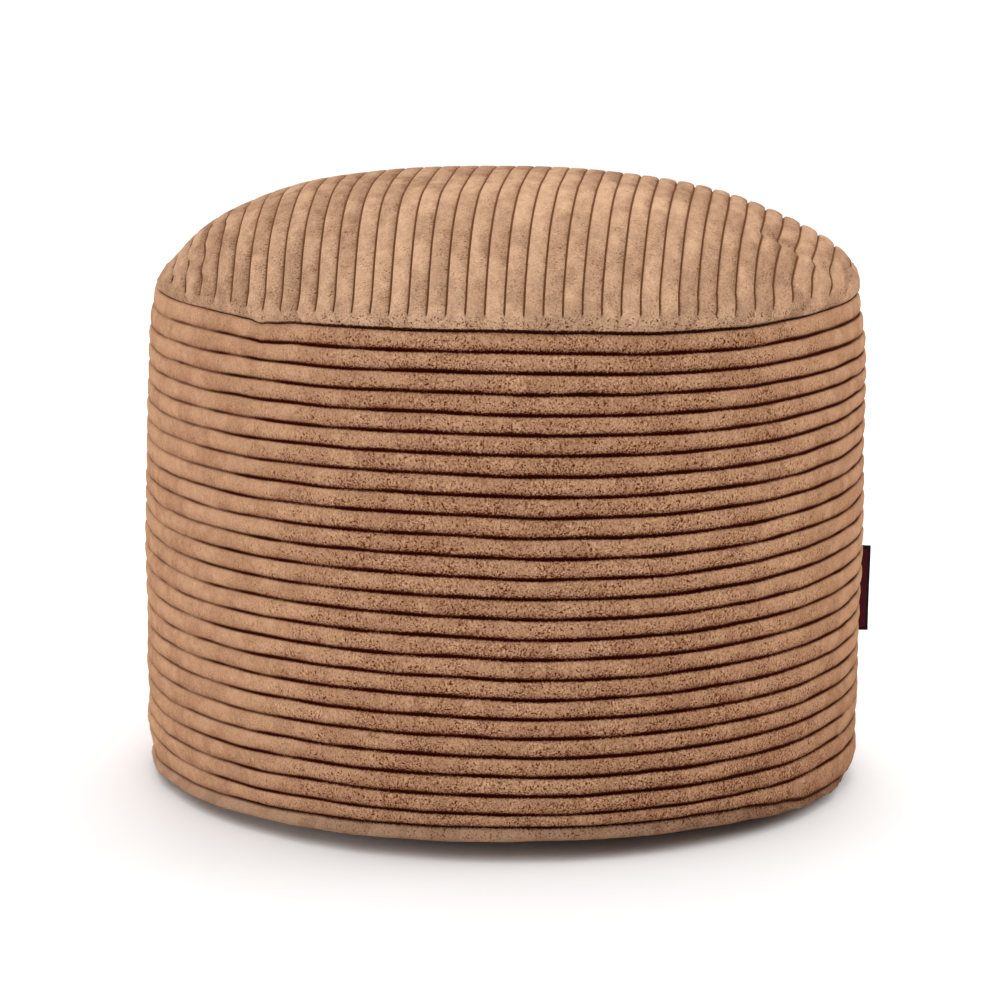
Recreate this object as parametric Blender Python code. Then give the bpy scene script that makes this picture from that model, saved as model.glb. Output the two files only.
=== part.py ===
"""A round bean bag footstool sewn from wide-wale corduroy.

Four pieces: the filled body, whose flat side is the side panel with its wales
running round the drum, the domed top panel with its wales running from front
to back, the shallow dish of the base panel, and the small folded ribbon tab
in the side seam. The front faces -Y, the floor is z = 0 and every length is
in metres. Azimuth is measured from the front and grows towards +X.
"""

import math

import bmesh
import bpy
from mathutils import Vector
from mathutils.geometry import delaunay_2d_cdt

# --- The drum -------------------------------------------------------------
RADIUS = 0.2500
FULLEST_HEIGHT = 0.1500
TOP_SEAM_MEAN = 0.3390
BASE_SEAM_MEAN = 0.0245
# The wall draws in towards each seam: a slow taper and a quick turn-in.
TOP_TAPER = 0.0035
TOP_TURN_IN = 0.0055
TOP_TURN_POWER = 7
BASE_TAPER = 0.0008
BASE_TURN_IN = 0.0022
BASE_TURN_POWER = 12

# --- Corduroy -------------------------------------------------------------
GAP = 0.0003
CLOTH = 0.0045
BASE_CLOTH = 0.0030
SEAM_ALLOWANCE = 0.0042
WALE_PITCH = 0.0128
SIDE_WALES = 25
GROOVE_DEPTH = 0.0024
SHOULDER_DEPTH = 0.0002
# Rows of points across one wale: place as a share of the pitch, and depth.
WALE_ROWS = (
    (0.00, GROOVE_DEPTH),
    (0.17, SHOULDER_DEPTH),
    (0.83, SHOULDER_DEPTH),
)

# The first wales follow the seam's ups and downs, less and less.
WALES_THAT_FOLLOW_SEAM = 3.0

# --- Seams, as sewn: azimuth in degrees, height above the floor -----------
TOP_SEAM = (
    (-180, 0.3390),
    (-110, 0.3410),
    (-64, 0.3405),
    (-47, 0.3376),
    (-40.5, 0.3352),
    (-34, 0.3374),
    (-18, 0.3388),
    (0, 0.3395),
    (10, 0.3390),
    (24, 0.3364),
    (38, 0.3371),
    (50, 0.3390),
    (64, 0.3418),
    (100, 0.3420),
    (180, 0.3390),
)
# The base seam's height comes with that of the upturned rim below it.
RIM_HEIGHT = 2
BASE_SEAM = (
    (-180, 0.0095, 0.0050),
    (-110, 0.0105, 0.0050),
    (-80, 0.0134, 0.0052),
    (-60, 0.0187, 0.0064),
    (-40, 0.0222, 0.0088),
    (-12, 0.0240, 0.0118),
    (6, 0.0247, 0.0134),
    (30, 0.0240, 0.0120),
    (39, 0.0225, 0.0108),
    (50, 0.0185, 0.0088),
    (64, 0.0158, 0.0074),
    (84, 0.0095, 0.0050),
    (110, 0.0090, 0.0048),
    (180, 0.0095, 0.0050),
)
# How far the wales wander up or down: azimuth, drift high up, drift low down.
DRIFT_HIGH = 0.2500
DRIFT_LOW = 0.1000
WALE_DRIFT = (
    (-180, 0.0000, 0.0000),
    (-100, -0.0004, -0.0015),
    (-64, -0.0006, -0.0018),
    (-36, -0.0002, -0.0002),
    (-12, 0.0010, 0.0006),
    (14, -0.0006, -0.0010),
    (39, 0.0001, 0.0000),
    (51, 0.0013, 0.0003),
    (66, 0.0032, 0.0016),
    (100, 0.0030, 0.0012),
    (180, 0.0000, 0.0000),
)

# --- The domed top panel --------------------------------------------------
DOME_RADIUS = 0.2452
DOME_RISE = 0.0742
DOME_POWER = 3.94
DOME_SOFTNESS = 0.81
# The left shoulder is squarer and the right one rounder: shares of the above.
POWER_LEAN = -0.433
SOFTNESS_LEAN = -0.295
POWER_FRONT = 0.044
DOME_TIP = 0.030
DOME_TIP_FADE_POWER = 8
DOME_SHIFT_BACK = 0.0089
DOME_EDGE = 0.955
# The puffed edge of the panel, from the ends of its grooves to the seam.
ROLL_START_PULL = 0.012
ROLL_END_PULL = 0.013
ROLL_END_ANGLE = math.radians(50)
SEAM_BLEND_POWER = 12
# The dome is a little hollow on its left and right slopes: depth, and place as
# a share of its radius.
LEFT_HOLLOW = 0.0024
LEFT_HOLLOW_PLACE = 0.74
RIGHT_HOLLOW = 0.0032
RIGHT_HOLLOW_PLACE = 0.79
HOLLOW_WIDTH = 0.13
# Round the dome's edge: azimuth, how far its shoulder sags there, and how full
# the puffed edge is, as a share of the pulls above.
SAG = 1
FULLNESS = 2
EDGE_SHAPE = (
    (-180, 0.0000, 0.80),
    (-130, 0.0016, 0.55),
    (-90, 0.0038, 0.30),
    (-60, 0.0022, 0.50),
    (-30, 0.0000, 0.85),
    (50, 0.0000, 0.85),
    (85, 0.0012, 0.55),
    (130, 0.0000, 0.65),
    (180, 0.0000, 0.80),
)
SAG_WIDTH = 0.07

TOP_WALE_PITCH = 0.01261
TOP_WALE_PHASE = 0.146
TOP_WALE_COUNT = 19
TOP_WALE_TURN = math.radians(3.1)
TOP_WALE_CENTRE = -0.0026
# The wales spread a little at mid length, more so towards the back, and they
# close up towards the sides, where the panel is pulled down to the seam.
FAN_MIDDLE = 0.035
FAN_BACK = 0.053
SIDE_SQUEEZE = 0.067
SIDE_SQUEEZE_POWER = 1.6
# The grooves end at this share of the dome's radius, just inside its edge.
GROOVE_END = 0.94

# --- The base panel -------------------------------------------------------
CONTACT_RADIUS = 0.190
RIM_RADIUS = 0.240
INNER_RIM_SHARE = 0.98
UNDERSIDE_POWER = 1.3
BASE_ROLL_START_PULL = 0.008
BASE_ROLL_END_PULL = 0.008
BASE_ROLL_END_ANGLE = math.radians(60)

# --- The side seam and its tab --------------------------------------------
SIDE_SEAM_AZIMUTH = 90.0
CHANNEL_DEPTH = 0.0026
CHANNEL_COLUMNS = ((-1.4, 0.0), (-0.5, CHANNEL_DEPTH), (0.5, CHANNEL_DEPTH), (1.4, 0.0))
TAB_LOW = 0.096
TAB_HIGH = 0.157
TAB_REACH = 0.0075
RIBBON = 0.0009
RIBBON_SLOT = 0.0004
FOLD_STEPS = 6

# --- Mesh steps -----------------------------------------------------------
EVEN_COLUMNS = 48
FIRST_COLUMN = 5.25
SMALL_STEP = 0.004
CROWN_STEPS = (0.32, 0.55, 0.73, 0.86, 0.94, 1.0, 2.0)
ROLL_STEPS = (1.0, 1.25, 1.5, 1.75, 2.0)
UNDERSIDE_STEPS = (0.50, 0.79, 0.90, 1.0, 1.35, 1.7, 2.0)
FOOT_STEPS = (0.50, 0.80, 0.91, 1.0, 2.0)
LINE_STEPS = 10
SOLVING_ROUNDS = 12
SHARP_EDGE = math.radians(35)
MERGE_DISTANCE = 1e-6

# --- Finishes -------------------------------------------------------------
PILE_ROUGHNESS = 0.95
RIBBON_ROUGHNESS = 0.70
CAMEL = (0.46, 0.27, 0.16, 1.0)
PALE_CAMEL = (0.54, 0.34, 0.21, 1.0)
DEEP_CAMEL = (0.40, 0.23, 0.13, 1.0)
BLACK_AND_MAROON = (0.05, 0.012, 0.018, 1.0)


def smoothstep(share):
    return share * share * (3.0 - 2.0 * share)


def read_table(rows, degrees, column=1):
    """Read a table of rows sorted by azimuth, easing from row to row."""
    turned = (degrees + 180.0) % 360.0 - 180.0
    for low, high in zip(rows, rows[1:]):
        if low[0] <= turned <= high[0]:
            share = smoothstep((turned - low[0]) / (high[0] - low[0]))
            return low[column] + share * (high[column] - low[column])
    return rows[-1][column]


def columns():
    """Azimuths in degrees of the points round the drum, with channel depth."""
    spacing = 360.0 / EVEN_COLUMNS
    even = [(FIRST_COLUMN + spacing * step, 0.0) for step in range(EVEN_COLUMNS)]
    channel = [(SIDE_SEAM_AZIMUTH + offset, depth) for offset, depth in CHANNEL_COLUMNS]
    return sorted(even + channel)


def on_drum(degrees, radius, height, back=0.0):
    azimuth = math.radians(degrees)
    return Vector((radius * math.sin(azimuth), back - radius * math.cos(azimuth), height))


# --- Side wall ------------------------------------------------------------
def wall_radius(height):
    """Radius at the crest of the wales."""
    if height > FULLEST_HEIGHT:
        share = (height - FULLEST_HEIGHT) / (TOP_SEAM_MEAN - FULLEST_HEIGHT)
        turn_in = TOP_TURN_IN * share**TOP_TURN_POWER
        return RADIUS - TOP_TAPER * share**2 - turn_in
    share = (FULLEST_HEIGHT - height) / (FULLEST_HEIGHT - BASE_SEAM_MEAN)
    turn_in = BASE_TURN_IN * min(share, 1.0) ** BASE_TURN_POWER
    return RADIUS - BASE_TAPER * share**2 - turn_in


def wale_line_height(wale, degrees):
    """Height of a place on the side, counted in wales down from the seam."""
    even = TOP_SEAM_MEAN - WALE_PITCH * wale
    high_share = (even - DRIFT_LOW) / (DRIFT_HIGH - DRIFT_LOW)
    high_share = min(max(high_share, 0.0), 1.0)
    high = read_table(WALE_DRIFT, degrees, 1)
    low = read_table(WALE_DRIFT, degrees, 2)
    drift = high_share * high + (1.0 - high_share) * low
    top_seam = read_table(TOP_SEAM, degrees)
    if wale <= WALES_THAT_FOLLOW_SEAM:
        near_seam = smoothstep(1.0 - wale / WALES_THAT_FOLLOW_SEAM)
        return even + drift + near_seam * (top_seam - TOP_SEAM_MEAN - drift)
    last = SIDE_WALES - 1
    if wale > last:
        groove = TOP_SEAM_MEAN - WALE_PITCH * last + drift
        base_seam = read_table(BASE_SEAM, degrees)
        return groove + (wale - last) * (base_seam - groove)
    return even + drift


def wall_rings():
    """Rings of points down the side, wale by wale, between the two seams."""
    rings = []
    for wale in range(SIDE_WALES):
        for place, depth in WALE_ROWS:
            if wale + place > 0.0:
                rings.append(wall_ring(wale + place, depth))
    return rings


def wall_ring(wale, depth):
    ring = []
    for degrees, channel in columns():
        height = wale_line_height(wale, degrees)
        radius = wall_radius(height) - max(depth, channel)
        ring.append(on_drum(degrees, radius, height))
    return ring


# --- Sections through the top and base panels -----------------------------
def soft_hollow(fraction, place, width):
    """1 at a place on the dome's slope, fading away on both sides of it."""
    return math.exp(-(((fraction - place) / width) ** 2))


def dome_section(fraction, degrees):
    """Radius and height of the dome at a share of its radius."""
    side = math.sin(math.radians(degrees))
    front = math.cos(math.radians(degrees))
    power = DOME_POWER * (1.0 + POWER_LEAN * side + POWER_FRONT * front)
    softness = DOME_SOFTNESS * (1.0 + SOFTNESS_LEAN * side)
    radius = DOME_RADIUS * fraction
    rise = DOME_RISE * (1.0 - fraction**power) ** softness
    tip = DOME_TIP * radius * side * (1.0 - fraction**DOME_TIP_FADE_POWER)
    seam_shift = read_table(TOP_SEAM, degrees) - TOP_SEAM_MEAN
    height = TOP_SEAM_MEAN + rise + tip + seam_shift * fraction**SEAM_BLEND_POWER
    height -= read_table(EDGE_SHAPE, degrees, SAG) * soft_hollow(fraction, DOME_EDGE, SAG_WIDTH)
    place, depth = (RIGHT_HOLLOW_PLACE, RIGHT_HOLLOW)
    if side < 0.0:
        place, depth = (LEFT_HOLLOW_PLACE, LEFT_HOLLOW)
    height -= depth * side**2 * soft_hollow(fraction, place, HOLLOW_WIDTH)
    return Vector((radius, height))


def rolled_edge(start, before, end, pulls, end_angle, share):
    """A puffed edge: from start, going on from before, tucked in at end."""
    start_pull = (start - before).normalized() * pulls[0]
    end_pull = Vector((-math.cos(end_angle), -math.sin(end_angle))) * pulls[1]
    if end.y > start.y:
        end_pull.y = -end_pull.y
    cube, square = share**3, share**2
    point = start * (2 * cube - 3 * square + 1) + end * (3 * square - 2 * cube)
    return point + 3 * start_pull * (cube - 2 * square + share) + 3 * end_pull * (cube - square)


def seam_valley(degrees, seam):
    height = read_table(seam, degrees)
    return Vector((wall_radius(height) - GROOVE_DEPTH, height))


def top_section(step, degrees):
    """Dome for steps 0 to 1, then the panel's puffed edge for 1 to 2."""
    if step <= 1.0:
        return dome_section(step * DOME_EDGE, degrees)
    start = dome_section(DOME_EDGE, degrees)
    before = dome_section(DOME_EDGE - SMALL_STEP, degrees)
    end = seam_valley(degrees, TOP_SEAM)
    fullness = read_table(EDGE_SHAPE, degrees, FULLNESS)
    pulls = (ROLL_START_PULL * fullness, ROLL_END_PULL * fullness)
    return rolled_edge(start, before, end, pulls, ROLL_END_ANGLE, step - 1.0)


def underside_section(step, degrees):
    """The flat foot and its upturned rim, for steps 0 to 1."""
    radius = RIM_RADIUS * step
    rim_height = read_table(BASE_SEAM, degrees, RIM_HEIGHT)
    share = max(radius - CONTACT_RADIUS, 0.0) / (RIM_RADIUS - CONTACT_RADIUS)
    return Vector((radius, rim_height * share**UNDERSIDE_POWER))


def base_section(step, degrees):
    """The foot for steps 0 to 1, then the panel's rolled edge for 1 to 2."""
    if step <= 1.0:
        return underside_section(step, degrees)
    start = underside_section(1.0, degrees)
    before = underside_section(1.0 - SMALL_STEP, degrees)
    end = seam_valley(degrees, BASE_SEAM)
    pulls = (BASE_ROLL_START_PULL, BASE_ROLL_END_PULL)
    return rolled_edge(start, before, end, pulls, BASE_ROLL_END_ANGLE, step - 1.0)


def under_dome(step, degrees, depth):
    """A point at a depth under the dome."""
    after = top_section(min(step + SMALL_STEP, 1.0), degrees)
    before = top_section(max(step - SMALL_STEP, 0.0), degrees)
    along = (after - before).normalized()
    return top_section(step, degrees) + Vector((along.y, -along.x)) * depth


def inside_top(step, degrees, clearance):
    """The top panel's inner face, and the crown that clears it, to the seam."""
    if step <= 1.0:
        return under_dome(step, degrees, CLOTH + clearance)
    valley = seam_valley(degrees, TOP_SEAM)
    return Vector((valley.x - SEAM_ALLOWANCE - clearance, valley.y - clearance))


def inside_base(step, degrees, clearance):
    """The base panel's inner face, and the foot that clears it, to the seam."""
    if step <= 1.0:
        outer = underside_section(step * INNER_RIM_SHARE, degrees)
        return Vector((outer.x - clearance, outer.y + BASE_CLOTH + clearance))
    valley = seam_valley(degrees, BASE_SEAM)
    return Vector((valley.x - SEAM_ALLOWANCE - clearance, valley.y + clearance))


def apex_shift(step):
    """The dome's top lies a little behind the drum's axis."""
    past_edge = max(step - 1.0, 0.0)
    fraction = min(step, 1.0) * DOME_EDGE + past_edge * (1.0 - DOME_EDGE)
    return DOME_SHIFT_BACK * (1.0 - fraction**2)


def top_ring(section, step, *clearance):
    ring = []
    for degrees, _channel in columns():
        point = section(step, degrees, *clearance)
        ring.append(on_drum(degrees, point.x, point.y, apex_shift(step)))
    return ring


def base_ring(section, step, *clearance):
    ring = []
    for degrees, _channel in columns():
        point = section(step, degrees, *clearance)
        ring.append(on_drum(degrees, point.x, point.y))
    return ring


def valley_ring(seam, rise):
    """The bottom of a seam's groove, raised or lowered off the seam."""
    ring = []
    for degrees, _channel in columns():
        valley = seam_valley(degrees, seam)
        ring.append(on_drum(degrees, valley.x, valley.y + rise))
    return ring


def top_pole(depth):
    height = dome_section(0.0, 0.0).y - depth
    return Vector((0.0, apex_shift(0.0), height))


# --- Meshes ---------------------------------------------------------------
def skin_rings(mesh, rings, start_pole=None, end_pole=None):
    """Bridge rings of points in order, and close their ends at the poles."""
    loops = [[mesh.verts.new(point) for point in ring] for ring in rings]
    count = len(loops[0])
    for upper, lower in zip(loops, loops[1:]):
        for step in range(count):
            after = (step + 1) % count
            mesh.faces.new((upper[step], lower[step], lower[after]))
            mesh.faces.new((upper[step], lower[after], upper[after]))
    if start_pole is not None:
        close_with_pole(mesh, loops[0], start_pole)
    if end_pole is not None:
        close_with_pole(mesh, loops[-1], end_pole)
    return loops


def close_with_pole(mesh, loop, pole):
    centre = mesh.verts.new(pole)
    for step, vertex in enumerate(loop):
        mesh.faces.new((vertex, loop[(step + 1) % len(loop)], centre))


def finish_object(name, mesh, colour, roughness):
    """Turn a closed bmesh into an object with its own material."""
    bmesh.ops.recalc_face_normals(mesh, faces=mesh.faces)
    data = bpy.data.meshes.new(name)
    mesh.to_mesh(data)
    mesh.free()
    data.shade_smooth()
    data.set_sharp_from_angle(angle=SHARP_EDGE)
    material = bpy.data.materials.new(name)
    material.use_nodes = True
    shader = material.node_tree.nodes["Principled BSDF"]
    shader.inputs["Base Color"].default_value = colour
    shader.inputs["Roughness"].default_value = roughness
    shader.inputs["Metallic"].default_value = 0.0
    data.materials.append(material)
    part = bpy.data.objects.new(name, data)
    bpy.context.collection.objects.link(part)
    return part


def build_cushion_body():
    """The filled drum: wales on its side, and its crown under the top panel."""
    rings = [top_ring(inside_top, step, GAP) for step in CROWN_STEPS]
    rings.append(valley_ring(TOP_SEAM, -GAP))
    rings.extend(wall_rings())
    rings.append(valley_ring(BASE_SEAM, GAP))
    rings.extend(base_ring(inside_base, step, GAP) for step in reversed(FOOT_STEPS))
    mesh = bmesh.new()
    foot_pole = Vector((0.0, 0.0, BASE_CLOTH + GAP))
    skin_rings(mesh, rings, top_pole(CLOTH + GAP), foot_pole)
    return finish_object("cushion_body", mesh, CAMEL, PILE_ROUGHNESS)


def build_base_panel():
    """A shallow dish: its flat foot, its rolled edge and its inner face."""
    rings = [base_ring(base_section, step) for step in UNDERSIDE_STEPS]
    rings.extend(base_ring(inside_base, step, 0.0) for step in reversed(FOOT_STEPS))
    mesh = bmesh.new()
    skin_rings(mesh, rings, Vector((0.0, 0.0, 0.0)), Vector((0.0, 0.0, BASE_CLOTH)))
    return finish_object("base_panel", mesh, DEEP_CAMEL, PILE_ROUGHNESS)


def wale_offset(count):
    """Distance from the middle wale line to a line, across the dome's plan."""
    target = TOP_WALE_PITCH * (count + TOP_WALE_PHASE)
    offset = target
    for _ in range(SOLVING_ROUNDS):
        squeeze = SIDE_SQUEEZE * abs(offset / DOME_RADIUS) ** SIDE_SQUEEZE_POWER
        offset = target / (1.0 + squeeze)
    return offset


def wale_line_across(offset, along):
    """Where a wale line lies, across the wales, at a place along them."""
    share = along / DOME_RADIUS
    spread = 1.0 + FAN_MIDDLE * (1.0 - share**2) + FAN_BACK * share
    return TOP_WALE_CENTRE + offset * spread


def wale_line_end(offset, sign):
    """How far along its length a line runs before its groove ends."""
    reach = GROOVE_END * DOME_RADIUS
    along = 0.0
    for _ in range(SOLVING_ROUNDS):
        across = wale_line_across(offset, sign * along)
        along = math.sqrt(max(reach**2 - across**2, 0.0))
    return sign * along


def wale_line_places(offset):
    """Points of one line, in plan, closest together at its two ends."""
    front, back = wale_line_end(offset, -1.0), wale_line_end(offset, 1.0)
    if back - front < WALE_PITCH:
        return []
    middle, half = (front + back) / 2.0, (back - front) / 2.0
    places = []
    for step in range(LINE_STEPS + 1):
        turn = math.pi * (step / LINE_STEPS - 0.5)
        along = middle + half * math.sin(turn)
        places.append((wale_line_across(offset, along), along))
    return places


def turn_with_wales(across, along):
    cosine, sine = math.cos(TOP_WALE_TURN), math.sin(TOP_WALE_TURN)
    return Vector((across * cosine + along * sine, along * cosine - across * sine))


def dome_plan():
    """Points in plan with their depth, and the edges that follow the wales."""
    points, depths, edges = [], [], []
    for degrees, _channel in columns():
        points.append(on_drum(degrees, DOME_EDGE * DOME_RADIUS, 0.0).to_2d())
        depths.append(0.0)
    rim = len(points)
    edges.extend((step, (step + 1) % rim) for step in range(rim))
    for wale in range(-TOP_WALE_COUNT, TOP_WALE_COUNT + 1):
        for place, depth in WALE_ROWS:
            line = wale_line_places(wale_offset(wale + place))
            first = len(points)
            points.extend(turn_with_wales(*spot) for spot in line)
            depths.extend(depth for _spot in line)
            edges.extend((first + step, first + step + 1) for step in range(len(line) - 1))
    return points, depths, edges, rim


def dome_surface_point(place, depth):
    """Lift a point in plan onto the dome, then sink it by its depth."""
    step = place.length / (DOME_EDGE * DOME_RADIUS)
    degrees = math.degrees(math.atan2(place.x, -place.y))
    point = under_dome(step, degrees, depth)
    return on_drum(degrees, point.x, point.y, apex_shift(step))


def build_top_panel():
    """The domed sheet: grooved outside, smooth inside, with a puffed edge."""
    plan, depths, edges, rim = dome_plan()
    mesh = bmesh.new()
    rings = [top_ring(inside_top, step, 0.0) for step in CROWN_STEPS]
    rings.extend(top_ring(top_section, step) for step in reversed(ROLL_STEPS))
    edge_loop = skin_rings(mesh, rings, top_pole(CLOTH))[-1]
    places, _edges, faces, sources, _e, _f = delaunay_2d_cdt(plan, edges, [], 1, MERGE_DISTANCE)
    vertices = []
    for place, source in zip(places, sources):
        if source and source[0] < rim:
            vertices.append(edge_loop[source[0]])
        else:
            depth = depths[source[0]] if source else 0.0
            vertices.append(mesh.verts.new(dome_surface_point(place, depth)))
    for face in faces:
        mesh.faces.new([vertices[corner] for corner in face])
    return finish_object("top_panel", mesh, PALE_CAMEL, PILE_ROUGHNESS)


def ribbon_outline():
    """Section of the folded ribbon: distance from the axis, and sideways."""
    root = RADIUS - CHANNEL_DEPTH + GAP
    tip = RADIUS + TAB_REACH
    half = RIBBON + RIBBON_SLOT / 2.0
    outline = [(root, -half)]
    for turn in range(FOLD_STEPS + 1):
        angle = math.pi * turn / FOLD_STEPS - math.pi / 2.0
        outline.append((tip - half + half * math.cos(angle), half * math.sin(angle)))
    outline.append((root, half))
    slot = RIBBON_SLOT / 2.0
    outline.append((root, slot))
    outline.append((tip - half, slot))
    outline.append((tip - half, -slot))
    outline.append((root, -slot))
    return outline


def build_side_tab():
    """The blank ribbon, folded double, standing out of the side seam."""
    azimuth = math.radians(SIDE_SEAM_AZIMUTH)
    outward = Vector((math.sin(azimuth), -math.cos(azimuth), 0.0))
    sideways = Vector((math.cos(azimuth), math.sin(azimuth), 0.0))
    mesh = bmesh.new()
    corners = []
    for reach, side in ribbon_outline():
        place = outward * reach + sideways * side
        corners.append(mesh.verts.new((place.x, place.y, TAB_LOW)))
    foot = mesh.faces.new(corners)
    lift = bmesh.ops.extrude_face_region(mesh, geom=[foot])
    top = [item for item in lift["geom"] if isinstance(item, bmesh.types.BMVert)]
    bmesh.ops.translate(mesh, verts=top, vec=(0.0, 0.0, TAB_HIGH - TAB_LOW))
    bmesh.ops.triangulate(mesh, faces=mesh.faces)
    return finish_object("side_tab", mesh, BLACK_AND_MAROON, RIBBON_ROUGHNESS)


def main():
    for item in list(bpy.data.objects):
        bpy.data.objects.remove(item, do_unlink=True)
    build_cushion_body()
    build_top_panel()
    build_base_panel()
    build_side_tab()


main()
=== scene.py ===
"""The looks of a round bean bag footstool sewn from wide-wale corduroy.

The filled body, the domed top panel, the base panel and the ribbon tab are
modelled here as fine meshes in the places of their plain solids. The front
faces -Y, the floor is z = 0, lengths are in metres, apart from WALE_DRIFT, and
azimuth is measured from the front and grows towards +X.
"""

import math

import bpy
import numpy as np
from mathutils import Matrix, Vector
from mathutils.geometry import delaunay_2d_cdt


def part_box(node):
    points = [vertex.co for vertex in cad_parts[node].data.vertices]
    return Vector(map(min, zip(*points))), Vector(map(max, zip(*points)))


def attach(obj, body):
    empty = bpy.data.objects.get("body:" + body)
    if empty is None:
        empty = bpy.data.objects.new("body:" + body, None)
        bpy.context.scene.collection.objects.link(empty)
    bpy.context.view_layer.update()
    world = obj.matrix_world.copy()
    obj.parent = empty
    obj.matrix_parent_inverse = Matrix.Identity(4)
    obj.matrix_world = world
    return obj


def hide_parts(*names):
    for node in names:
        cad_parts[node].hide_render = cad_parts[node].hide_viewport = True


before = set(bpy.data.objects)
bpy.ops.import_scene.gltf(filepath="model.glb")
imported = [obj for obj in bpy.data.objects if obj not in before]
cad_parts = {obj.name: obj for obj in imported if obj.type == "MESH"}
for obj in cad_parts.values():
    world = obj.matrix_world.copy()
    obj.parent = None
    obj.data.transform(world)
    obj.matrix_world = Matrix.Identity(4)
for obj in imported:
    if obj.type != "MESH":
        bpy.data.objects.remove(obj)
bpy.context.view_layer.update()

# --- The drum, as in the solids ---
RADIUS = 0.2500
FULLEST_HEIGHT = 0.1500
TOP_SEAM_MEAN = 0.3390
BASE_SEAM_MEAN = 0.0245
TOP_TAPER = 0.0035
TOP_TURN_IN = 0.0055
TOP_TURN_POWER = 7
BASE_TAPER = 0.0008
BASE_TURN_IN = 0.0022
BASE_TURN_POWER = 12
GAP = 0.0003
CLOTH = 0.0045
BASE_CLOTH = 0.0030
SEAM_ALLOWANCE = 0.0042
SEAM_DEPTH = 0.0024

# --- Seams, as sewn: azimuth in degrees, height above the floor ---
TOP_SEAM = (
    (-180, 0.339), (-110, 0.3392), (-64, 0.3379), (-54, 0.3381), (-48, 0.3374),
    (-43, 0.3364), (-40.5, 0.3345), (-38.5, 0.3356), (-33, 0.3375), (-18, 0.3382),
    (0, 0.339), (10, 0.3381), (24, 0.3362), (38, 0.3361), (50, 0.3377), (64, 0.3392),
    (100, 0.339), (180, 0.339),
)
# The base seam's height comes with that of the upturned rim below it.
RIM_HEIGHT = 2
BASE_SEAM = (
    (-180, 0.0095, 0.005), (-110, 0.0098, 0.005), (-80, 0.0124, 0.0052),
    (-60, 0.0167, 0.0064), (-40, 0.0195, 0.0088), (-28, 0.0213, 0.01),
    (-12, 0.0229, 0.0118), (0, 0.024, 0.0126), (6, 0.0235, 0.0134), (30, 0.0228, 0.012),
    (39, 0.0216, 0.0108), (48, 0.0176, 0.0088), (56, 0.0129, 0.0079), (66, 0.0121, 0.007),
    (76, 0.0072, 0.0043), (84, 0.0062, 0.0034), (110, 0.008, 0.0042), (180, 0.0095, 0.005),
)
# How far the wales wander up or down: azimuth, then the drift in millimetres
# of the wale lines whose counts down from the top seam are DRIFT_WALES.
DRIFT_WALES = (2.5, 6.0, 12.0, 18.0, 22.0, 24.0)
WALE_DRIFT = (
    (-180, 0, 0, 0, 0, 0, 0),
    (-76, -1.9, -0.5, 0.8, -1.7, -1.1, 0.2),
    (-62, -1.6, -0.5, 0.6, -1.4, -2.3, -2.6),
    (-44, -1.0, -0.4, 0.5, -0.6, -1.6, -1.7),
    (-28, -1.0, 0.4, 0.7, 0.5, 0.2, 0.5),
    (-10, 0.9, 1.4, 0.9, 0.5, 1.0, 0.6),
    (6, -0.1, 0.4, -0.8, -1.3, -0.4, 0.0),
    (22, -1.4, -0.4, -1.3, -1.2, -0.1, 0.7),
    (38, -1.9, -0.3, -0.1, -0.5, -0.2, -0.1),
    (50, -1.1, 0.6, 1.6, -0.3, -0.4, -0.7),
    (60, -0.7, 2.0, 2.9, 0.3, 0.7, 1.0),
    (72, -0.2, 4.2, 3.2, 0.5, -1.1, -1.2),
    (180, 0, 0, 0, 0, 0, 0),
)
# Round the dome's edge: azimuth, how far its shoulder sags there, and how full
# the puffed edge is, as a share of its pulls.
SAG = 1
FULLNESS = 2
EDGE_SHAPE = (
    (-180, 0.0, 0.8), (-130, 0.0014, 0.55), (-90, 0.0026, 0.18), (-60, 0.0008, 0.5),
    (-30, -0.0004, 0.85), (30, -0.0003, 0.85), (50, -0.0008, 0.87), (68, -0.0019, 0.78),
    (92, -0.0015, 0.46), (130, 0.0, 0.65), (180, 0.0, 0.8),
)
SAG_WIDTH = 0.07
# Where the grooves of the top end, as a share of its puffed edge.
GROOVE_ENDS = (
    (-180, 0.45), (-110, 0.15), (-80, 0.1), (-60, 0.48), (-40, 0.58), (-20, 0.46),
    (0, 0.48), (20, 0.55), (40, 0.62), (60, 0.54), (80, 0.2), (110, 0.25), (180, 0.45),
)
# How open the side's grooves are.
GROOVE_OPENNESS = (
    (-180, 0.85), (-110, 0.55), (-80, 0.5), (-60, 0.58), (-35, 0.84), (-10, 1.0), (30, 1.0),
    (50, 0.89), (80, 0.76), (110, 0.78), (180, 0.85),
)
# How wide the top seam's dark line is, as a share of the grooves'.
SEAM_OPENNESS = (
    (-180, 0.7), (-70, 0.6), (-38, 0.75), (-10, 0.9), (26, 0.9), (46, 0.62), (80, 0.5),
    (180, 0.7),
)

# --- Wales of the side panel ---
WALE_PITCH = 0.0128
SIDE_WALES = 25
WALES_THAT_FOLLOW_SEAM = 3.0
GROOVE_DEPTH = 0.0029
CREST_RISE = 0.0003
# Across one wale from its upper groove: place as a share of the pitch, and
# depth as a share of the groove's. The lower half hangs over a little.
SIDE_PROFILE = (
    (0.0, 1.0), (0.05, 0.78), (0.1, 0.31), (0.18, 0.08), (0.42, 0.0), (0.66, 0.15),
    (0.84, 0.44), (0.94, 0.8),
)
# Grooves that the pile has closed: groove, azimuth from, azimuth to, share.
CLOSED_GROOVES = (
    (21, -100, -82, 0.6), (22, -104, -78, 0.85), (22, 69, 90, 0.8), (23, -100, -80, 0.7),
    (23, 66, 72, 0.75), (24, -96, -84, 0.6),
)
CLOSING_LENGTH = 5.0

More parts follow.
